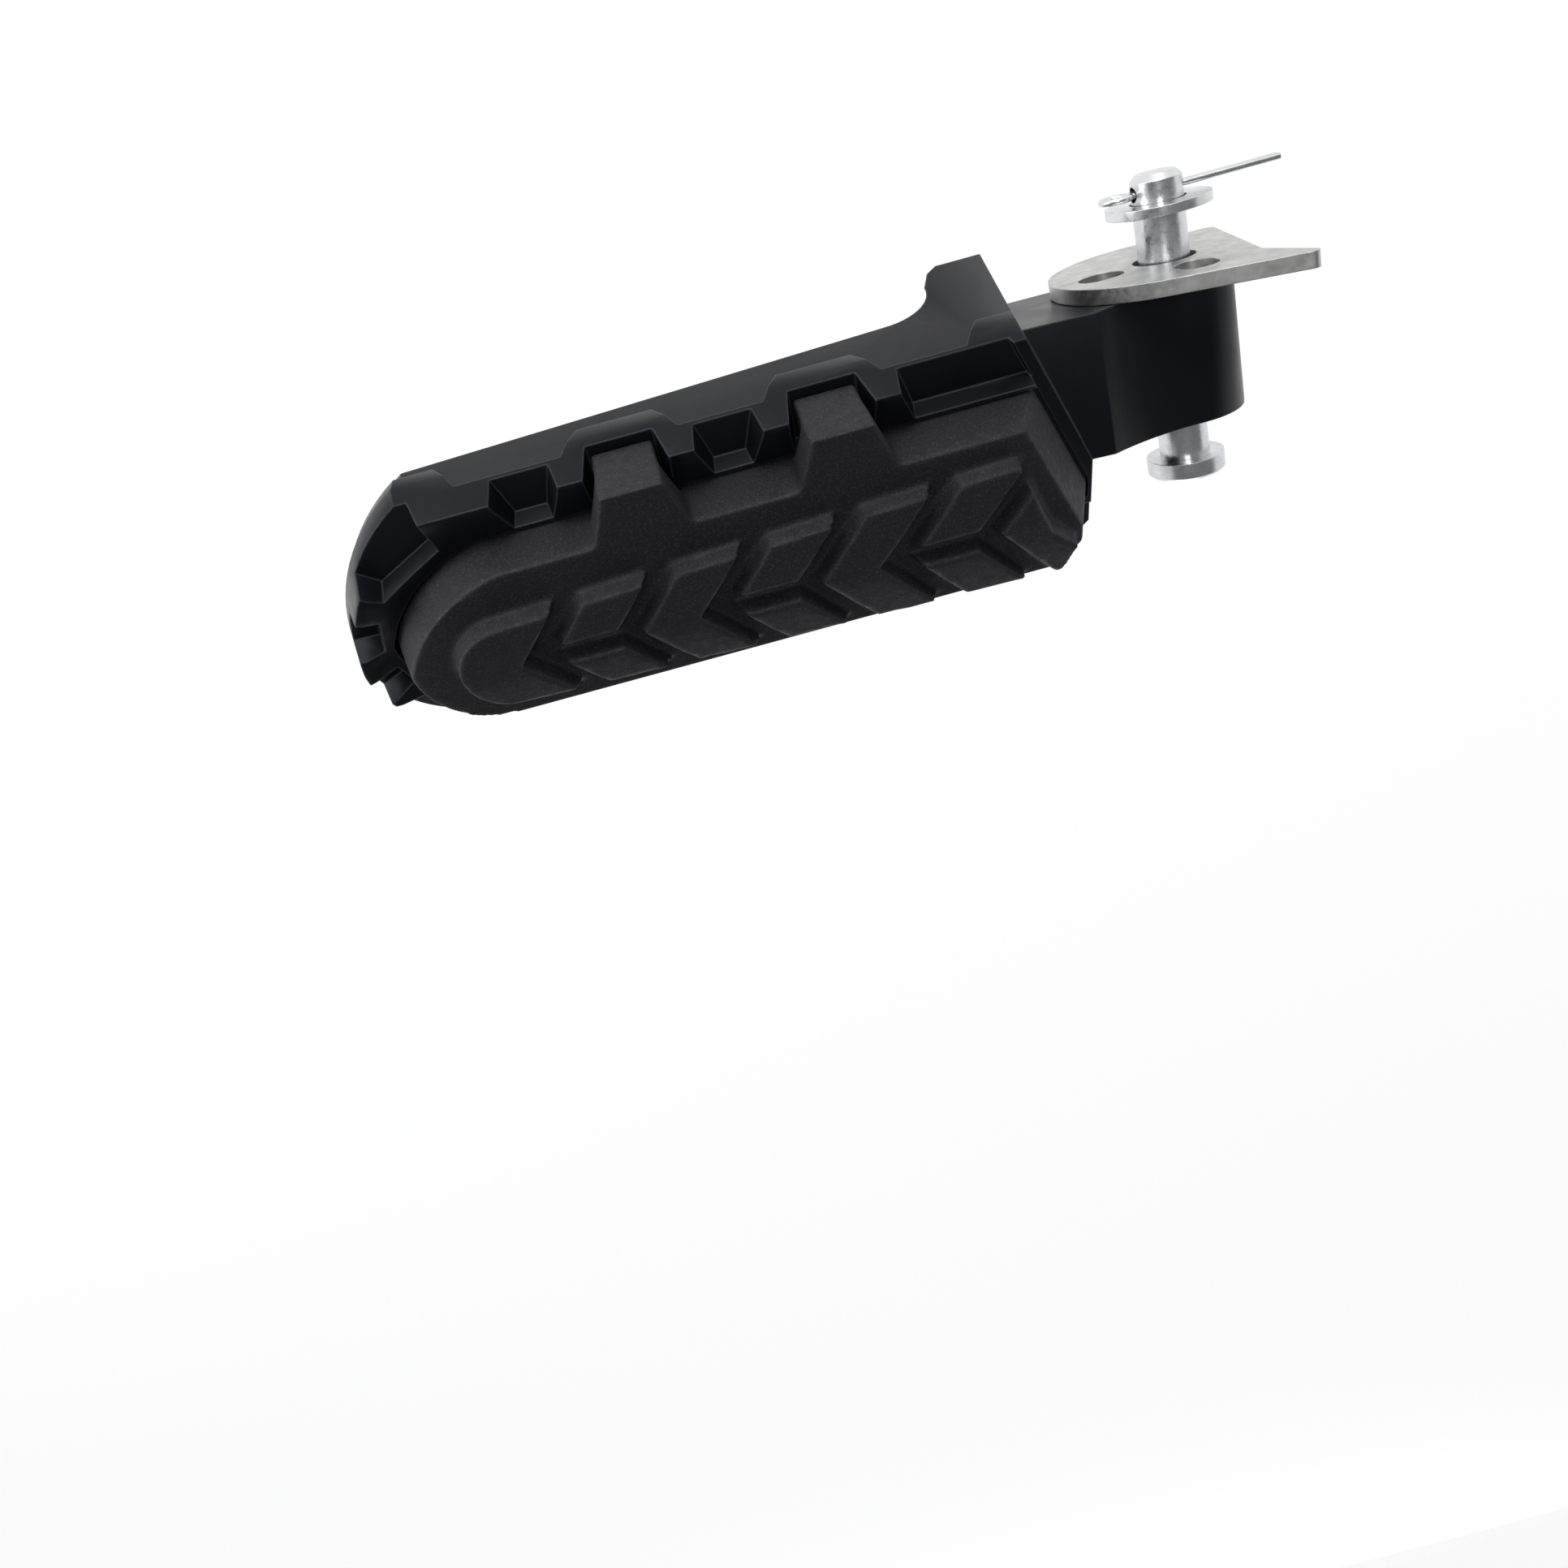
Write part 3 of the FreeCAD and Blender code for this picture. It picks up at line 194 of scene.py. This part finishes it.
def bump(material, height, depth, strength, normal=None):
    """Normals that follow a pattern's height, on top of other normals where they are given."""
    node = material.node_tree.nodes.new("ShaderNodeBump")
    node.inputs["Distance"].default_value = depth
    node.inputs["Strength"].default_value = strength
    link(material, height, node.inputs["Height"])
    if normal is not None:
        link(material, normal, node.inputs["Normal"])
    return node.outputs["Normal"]


def rounded_normal(material, radius):
    """Normals that turn over sharp edges, for an edge too fine to model."""
    node = material.node_tree.nodes.new("ShaderNodeBevel")
    node.samples = EDGE_SAMPLES
    node.inputs["Radius"].default_value = radius
    return node.outputs["Normal"]


def edge_mask(material, radius):
    """White on a narrow strip along each edge and black on the flats."""
    nodes = material.node_tree.nodes
    rounded = rounded_normal(material, radius)
    flat = nodes.new("ShaderNodeNewGeometry").outputs["Normal"]
    turn = nodes.new("ShaderNodeVectorMath")
    turn.operation = "DOT_PRODUCT"
    link(material, rounded, turn.inputs[0])
    link(material, flat, turn.inputs[1])
    return ramp(material, turn.outputs["Value"], 1.0, 0.0, EDGE_START, EDGE_END)


def set_sheen(shader, level, tint):
    """How strongly a black surface mirrors its surroundings, and in what tint."""
    shader.inputs["Specular IOR Level"].default_value = level
    shader.inputs["Specular Tint"].default_value = tint


def satin_black_coating():
    """Powder coat: near black with a cool sheen and a fine peel, and a painted highlight along its edges."""
    dark, light = (0.0054, 0.0058, 0.0084, 1), (0.0076, 0.0082, 0.0116, 1)
    # Colour of the painted highlight along the edges
    painted_edge_highlight = (0.10, 0.105, 0.125, 1)
    material, shader, place = new_material("satin_black_coating")
    body = ramp(material, noise(material, place, size=14 * MM, detail=3), dark, light)
    # Painted highlight: the narrow strip along each edge takes the pale colour, standing in for light caught
    # by the edges
    edges = edge_mask(material, radius=0.35 * MM)
    link(material, mix(material, edges, body, painted_edge_highlight), shader.inputs["Base Color"])
    gloss = ramp(material, noise(material, place, size=5 * MM, detail=4), low=0.30, high=0.36)
    link(material, gloss, shader.inputs["Roughness"])
    set_sheen(shader, level=0.17, tint=(0.90, 0.93, 1.0, 1))
    peel = noise(material, place, size=0.5 * MM, detail=2)
    rounded = rounded_normal(material, radius=0.3 * MM)
    normal = bump(material, peel, depth=0.012 * MM, strength=0.3, normal=rounded)
    link(material, normal, shader.inputs["Normal"])
    return material


def moulded_rubber():
    """Matte black rubber with a fine moulded grain and paler specks."""
    dark, light = (0.0106, 0.0104, 0.0142, 1), (0.0142, 0.0140, 0.0184, 1)
    speck = (0.042, 0.042, 0.049, 1)
    material, shader, place = new_material("moulded_rubber")
    body = ramp(material, noise(material, place, size=7 * MM, detail=3), dark, light)
    dots = noise(material, place, size=0.24 * MM, detail=2, roughness=0.8)
    specks = ramp(material, dots, low=0.0, high=1.0, start=0.54, end=0.66)
    link(material, mix(material, specks, body, speck), shader.inputs["Base Color"])
    gloss = ramp(material, noise(material, place, size=1.2 * MM, detail=4), low=0.55, high=0.72)
    link(material, gloss, shader.inputs["Roughness"])
    set_sheen(shader, level=0.34, tint=(0.92, 0.92, 1.0, 1))
    grain = noise(material, place, size=0.30 * MM, detail=3, roughness=0.65)
    link(material, bump(material, grain, depth=0.07 * MM, strength=0.7), shader.inputs["Normal"])
    return material


def metal(name, dark, light, rough, scratch, depth):
    """Bare or plated steel: cloudy tone, cloudy gloss and fine scratches that run one way."""
    material, shader, place = new_material(name)
    cloud = noise(material, place, size=2.5 * MM, detail=6, roughness=0.6)
    link(material, ramp(material, cloud, dark, light), shader.inputs["Base Color"])
    shader.inputs["Metallic"].default_value = 1.0
    smoothest, roughest = rough - 0.06, rough + 0.08
    haze = noise(material, place, size=0.8 * MM, detail=5, roughness=0.6)
    link(material, ramp(material, haze, smoothest, roughest), shader.inputs["Roughness"])
    scratches = noise(material, place, scratch, detail=3, roughness=0.6, stretch=(1.0, 0.08, 0.08))
    rounded = rounded_normal(material, radius=0.15 * MM)
    normal = bump(material, scratches, depth, strength=0.5, normal=rounded)
    link(material, normal, shader.inputs["Normal"])
    return material


def satin_plate_steel():
    """Bare sheet steel of the two plates."""
    dark, light = (0.42, 0.42, 0.41, 1), (0.62, 0.62, 0.61, 1)
    return metal("satin_plate_steel", dark, light, rough=0.40, scratch=0.12 * MM, depth=0.012 * MM)


def bright_zinc():
    """Plating of the pin, washer, cotter pin and bolts."""
    dark, light = (0.60, 0.61, 0.63, 1), (0.74, 0.75, 0.77, 1)
    return metal("bright_zinc", dark, light, rough=0.28, scratch=0.15 * MM, depth=0.006 * MM)


def polished_ball():
    """Bearing steel of the detent ball."""
    dark, light = (0.66, 0.66, 0.67, 1), (0.78, 0.78, 0.79, 1)
    return metal("polished_ball", dark, light, rough=0.12, scratch=0.3 * MM, depth=0.002 * MM)


def dark_oxide():
    """Glossy dark oxide on the bush."""
    dark, light = (0.045, 0.048, 0.036, 1), (0.085, 0.088, 0.066, 1)
    return metal("dark_oxide", dark, light, rough=0.26, scratch=0.2 * MM, depth=0.006 * MM)


def black_spring_wire():
    """Black oxide on the spring."""
    dark, light = (0.016, 0.016, 0.018, 1), (0.03, 0.03, 0.033, 1)
    return metal("black_spring_wire", dark, light, rough=0.36, scratch=0.2 * MM, depth=0.006 * MM)


def stand_for(node, body, name, data):
    """A piece with a plain mesh, which rides on a body and stands for a CAD node."""
    piece = bpy.data.objects.new(name, data)
    bpy.context.collection.objects.link(piece)
    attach(piece, body)
    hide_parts(node)
    return piece


def plain_mesh(shown):
    """What an object's modifiers make of it, as a mesh of its own."""
    graph = bpy.context.evaluated_depsgraph_get()
    return bpy.data.meshes.new_from_object(shown.evaluated_get(graph))


def copy_of(node, body, name, material):
    """A copy of a CAD node with its flat faces whole, which stands for that node."""
    mesh = bmesh.new()
    mesh.from_mesh(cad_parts[node].data)
    bmesh.ops.remove_doubles(mesh, verts=mesh.verts, dist=MERGE_GAP)
    bmesh.ops.dissolve_limit(mesh, angle_limit=LEVEL_ANGLE, verts=mesh.verts, edges=mesh.edges)
    data = bpy.data.meshes.new(name)
    mesh.to_mesh(data)
    mesh.free()
    data.materials.clear()
    data.materials.append(material)
    data.shade_smooth()
    return stand_for(node, body, name, data)


def cast_footrest(material):
    """The casting, with a fine radius along its edges."""
    piece = copy_of("footrest_casting", "footrest", "cast_footrest", material)
    rounding = piece.modifiers.new("edge_rounding", "BEVEL")
    rounding.limit_method = "ANGLE"
    rounding.angle_limit = CASTING_EDGE_ANGLE
    rounding.width = CASTING_EDGE
    rounding.segments = CASTING_EDGE_STEPS
    rounding.use_clamp_overlap = True
    rounding.harden_normals = True


def of_slab(place):
    """True beside the tread blocks, on the near side with its tabs and on the nose."""
    return place.y < SLAB_SIDE_Y or place.x > SLAB_NOSE_X


def chevron_tread(material):
    """The rubber, with the soft edges of a moulding, softest along the slab's near side and nose."""
    piece = copy_of("tread_rubber", "footrest", "chevron_tread", material)
    grid = piece.modifiers.new("fine_grid", "REMESH")
    grid.mode = "VOXEL"
    grid.voxel_size = RUBBER_GRID
    data = plain_mesh(piece)
    piece.modifiers.remove(grid)
    piece.data = data
    data.name = "chevron_tread"
    data.shade_smooth()
    slab = piece.vertex_groups.new(name="slab")
    slab.add([corner.index for corner in data.vertices if of_slab(corner.co)], 1.0, "REPLACE")
    for name, rounds, group in (("soft_blocks", BLOCK_ROUNDS, ""), ("soft_slab", SLAB_ROUNDS, "slab")):
        smoothing = piece.modifiers.new(name, "SMOOTH")
        smoothing.factor = SMOOTHING
        smoothing.iterations = rounds
        smoothing.vertex_group = group


def dress(node, material):
    """Gives a CAD node its finish."""
    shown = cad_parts[node]
    shown.data.materials.clear()
    shown.data.materials.append(material)


class Tree:
    """A Geometry Nodes tree with named inputs and one geometry output."""

    def __init__(self, name, inputs):
        self.group = bpy.data.node_groups.new(name, "GeometryNodeTree")
        face = self.group.interface
        self.values = []
        for label, kind, value in inputs:
            socket = face.new_socket(name=label, in_out="INPUT", socket_type="NodeSocket" + kind)
            self.values.append((socket.identifier, value))
        face.new_socket(name="Geometry", in_out="OUTPUT", socket_type="NodeSocketGeometry")
        self.given = self.group.nodes.new("NodeGroupInput").outputs
        self.end = self.group.nodes.new("NodeGroupOutput")

    def add(self, kind, **inputs):
        """Adds a node. Inputs are sockets, names of the tree's own inputs, or plain values."""
        node = self.group.nodes.new(kind)
        for name, value in inputs.items():
            self.feed(node.inputs[name.replace("_", " ")], value)
        return node.outputs

    def feed(self, socket, value):
        """Links or sets one input of a node."""
        if isinstance(value, str):
            value = self.given[value]
        if isinstance(value, bpy.types.NodeSocket):
            self.group.links.new(value, socket)
        else:
            socket.default_value = value

    def rod(self, sides, radius, depth, middle):
        """An upright rod with its middle at a height."""
        rod = self.add("GeometryNodeMeshCylinder", Vertices=sides, Radius=radius, Depth=depth)[0]
        return self.add("GeometryNodeTransform", Geometry=rod, Translation=(0, 0, middle))[0]

    def fuse(self, *solids):
        """One closed skin round several solids that overlap."""
        node = self.group.nodes.new("GeometryNodeMeshBoolean")
        node.operation = "UNION"
        node.solver = "EXACT"
        for solid in solids:
            self.group.links.new(solid, node.inputs["Mesh 2"])
        return node.outputs[0]

    def make(self, name, geometry, body, node):
        """Ends the tree, runs it once and lets its plain mesh stand for a CAD node."""
        real = self.add("GeometryNodeRealizeInstances", Geometry=geometry)[0]
        painted = self.add("GeometryNodeSetMaterial", Geometry=real, Material="Material")[0]
        self.group.links.new(painted, self.end.inputs[0])
        holder = bpy.data.objects.new(name + "_rule", bpy.data.meshes.new(name + "_rule"))
        bpy.context.collection.objects.link(holder)
        rule = holder.modifiers.new("rule", "NODES")
        rule.node_group = self.group
        for identifier, value in self.values:
            rule[identifier] = value
        data = plain_mesh(holder)
        data.name = name
        bpy.data.objects.remove(holder)
        return stand_for(node, body, name, data)


def coil_spring(material):
    """The detent spring: a round wire that follows a helix."""
    tree = Tree("coil_spring", [
        ("Turns", "Float", SPRING_TURNS),
        ("Height", "Float", SPRING_HEIGHT),
        ("Coil Radius", "Float", SPRING_RADIUS),
        ("Wire Radius", "Float", SPRING_WIRE),
        ("Place", "Vector", SPRING_PLACE),
        ("Turn", "Float", HINGE_TURN),
        ("Material", "Material", material),
    ])
    helix = tree.add("GeometryNodeCurveSpiral", Resolution=SPRING_STEPS, Rotations="Turns",
                     Start_Radius="Coil Radius", End_Radius="Coil Radius", Height="Height")[0]
    ring = tree.add("GeometryNodeCurvePrimitiveCircle", Resolution=SPRING_WIRE_SIDES, Radius="Wire Radius")[0]
    wire = tree.add("GeometryNodeCurveToMesh", Curve=helix, Profile_Curve=ring, Fill_Caps=True)[0]
    lift = tree.add("ShaderNodeCombineXYZ", Z="Wire Radius")[0]
    raised = tree.add("GeometryNodeTransform", Geometry=wire, Translation=lift)[0]
    lean = tree.add("ShaderNodeCombineXYZ", X="Turn")[0]
    placed = tree.add("GeometryNodeTransform", Geometry=raised, Translation="Place", Rotation=lean)[0]
    smooth = tree.add("GeometryNodeSetShadeSmooth", Geometry=placed)[0]
    tree.make("coil_spring", smooth, "footrest", "detent_spring")


def flange_bolts(material):
    """The pad's bolts: one hexagon flange bolt, repeated along the peg."""
    tree = Tree("flange_bolts", [
        ("Count", "Int", BOLT_COUNT),
        ("First Place", "Vector", BOLT_PLACE),
        ("Pitch", "Float", BOLT_PITCH),
        ("Shank Radius", "Float", BOLT_RADIUS),
        ("Shank Length", "Float", BOLT_LENGTH),
        ("Flange Radius", "Float", BOLT_FLANGE_RADIUS),
        ("Flange Height", "Float", BOLT_FLANGE_HEIGHT),
        ("Head Radius", "Float", BOLT_HEAD_RADIUS),
        ("Head Height", "Float", BOLT_HEAD_HEIGHT),
        ("Material", "Material", material),
    ])
    flange_middle = -BOLT_FLANGE_HEIGHT / 2
    shank = tree.rod(BOLT_SIDES, "Shank Radius", "Shank Length", BOLT_LENGTH / 2)
    flange = tree.rod(BOLT_FLANGE_SIDES, "Flange Radius", "Flange Height", flange_middle)
    head = tree.rod(BOLT_HEAD_SIDES, "Head Radius", "Head Height", flange_middle - BOLT_HEAD_HEIGHT / 2)
    bolt = tree.fuse(shank, flange, head)
    step = tree.add("ShaderNodeCombineXYZ", X="Pitch")[0]
    places = tree.add("GeometryNodeMeshLine", Count="Count", Start_Location="First Place", Offset=step)[0]
    row = tree.add("GeometryNodeInstanceOnPoints", Points=places, Instance=bolt)[0]
    piece = tree.make("flange_bolts", row, "footrest", "pad_bolts")
    piece.data.shade_smooth()
    piece.data.set_sharp_from_angle(angle=BOLT_SHARP_ANGLE)


def dress_object():
    """Makes the pieces that stand for CAD nodes, and gives the other nodes their finishes."""
    plate = satin_plate_steel()
    zinc = bright_zinc()
    cast_footrest(satin_black_coating())
    chevron_tread(moulded_rubber())
    dress("pad_backing_plate", plate)
    dress("pivot_bush", dark_oxide())
    dress("clevis_pin", zinc)
    dress("pin_washer", zinc)
    dress("cotter_pin", zinc)
    dress("detent_plate", plate)
    dress("detent_ball", polished_ball())
    coil_spring(black_spring_wire())
    flange_bolts(zinc)


def background_rays(material):
    """One for the rays that look at the background itself, straight, mirrored or through something clear."""
    nodes = material.node_tree.nodes
    path = nodes.new("ShaderNodeLightPath")
    seen = path.outputs["Is Camera Ray"]
    for name in ("Is Glossy Ray", "Is Transmission Ray"):
        either = nodes.new("ShaderNodeMath")
        either.operation = "MAXIMUM"
        link(material, seen, either.inputs[0])
        link(material, path.outputs[name], either.inputs[1])
        seen = either.outputs["Value"]
    return seen


def pale_floor():
    """A matte floor that shows white to the rays that look at it and lights the object less."""
    material, shader, _ = new_material("pale_floor")
    shader.inputs["Base Color"].default_value = FLOOR_COLOUR
    shader.inputs["Roughness"].default_value = FLOOR_ROUGHNESS
    shader.inputs["Emission Color"].default_value = WHITE
    glow = material.node_tree.nodes.new("ShaderNodeMath")
    glow.operation = "MULTIPLY"
    glow.inputs[1].default_value = FLOOR_GLOW
    link(material, background_rays(material), glow.inputs[0])
    link(material, glow.outputs["Value"], shader.inputs["Emission Strength"])
    return material


def lay_floor():
    """A plain white floor well below the object, which sweeps up into a backdrop far off on every side."""
    level = min(cad_box[0][2], cad_box[1][2]) - FLOOR_DROP
    corners = []
    for radius, rise in BACKDROP:
        for side in range(BACKDROP_SIDES):
            turn = 2 * math.pi * side / BACKDROP_SIDES
            corners.append((radius * math.cos(turn), radius * math.sin(turn), level + rise))
    faces = [tuple(range(BACKDROP_SIDES))]
    for first in range(0, len(corners) - BACKDROP_SIDES, BACKDROP_SIDES):
        for side in range(BACKDROP_SIDES):
            near = first + side
            beside = first + (side + 1) % BACKDROP_SIDES
            faces.append((near, beside, beside + BACKDROP_SIDES, near + BACKDROP_SIDES))
    data = bpy.data.meshes.new("floor")
    data.from_pydata(corners, [], faces)
    data.materials.append(pale_floor())
    floor = bpy.data.objects.new("floor", data)
    bpy.context.collection.objects.link(floor)


def lamp(name, place, aim, size, power):
    """A rectangular lamp that the camera doesn't see."""
    data = bpy.data.lights.new(name, "AREA")
    data.energy = power
    data.shape = "RECTANGLE"
    data.size, data.size_y = size
    light = bpy.data.objects.new(name, data)
    light.location = place
    light.visible_camera = False
    light.rotation_euler = (aim - place).to_track_quat("-Z", "Y").to_euler()
    bpy.context.collection.objects.link(light)


def light_studio():
    """A dim even surround and a few lamps: broad low ones near and far, one above and one beyond the tip."""
    world = bpy.data.worlds.new("studio")
    bpy.context.scene.world = world
    world.use_nodes = True
    background = world.node_tree.nodes["Background"]
    background.inputs["Color"].default_value = WORLD_COLOUR
    background.inputs["Strength"].default_value = WORLD_STRENGTH
    middle = (Vector(cad_box[0]) + Vector(cad_box[1])) / 2
    for name, offset, size, power in LAMPS:
        lamp(name, middle + Vector(offset), middle, size, power)


def place_camera():
    """The photograph's camera."""
    data = bpy.data.cameras.new("camera")
    data.lens = CAMERA_LENS
    data.sensor_width = CAMERA_SENSOR
    data.shift_x, data.shift_y = CAMERA_SHIFT
    data.clip_start = CAMERA_NEAR
    camera = bpy.data.objects.new("camera", data)
    back = CAMERA_BACK.normalized()
    up = back.cross(CAMERA_RIGHT).normalized()
    right = up.cross(back)
    turn = Matrix((right, up, back)).transposed().to_4x4()
    camera.matrix_world = Matrix.Translation(CAMERA_PLACE) @ turn
    bpy.context.collection.objects.link(camera)
    bpy.context.scene.camera = camera


bpy.context.scene.view_settings.view_transform = "Standard"
dress_object()
lay_floor()
light_studio()
place_camera()
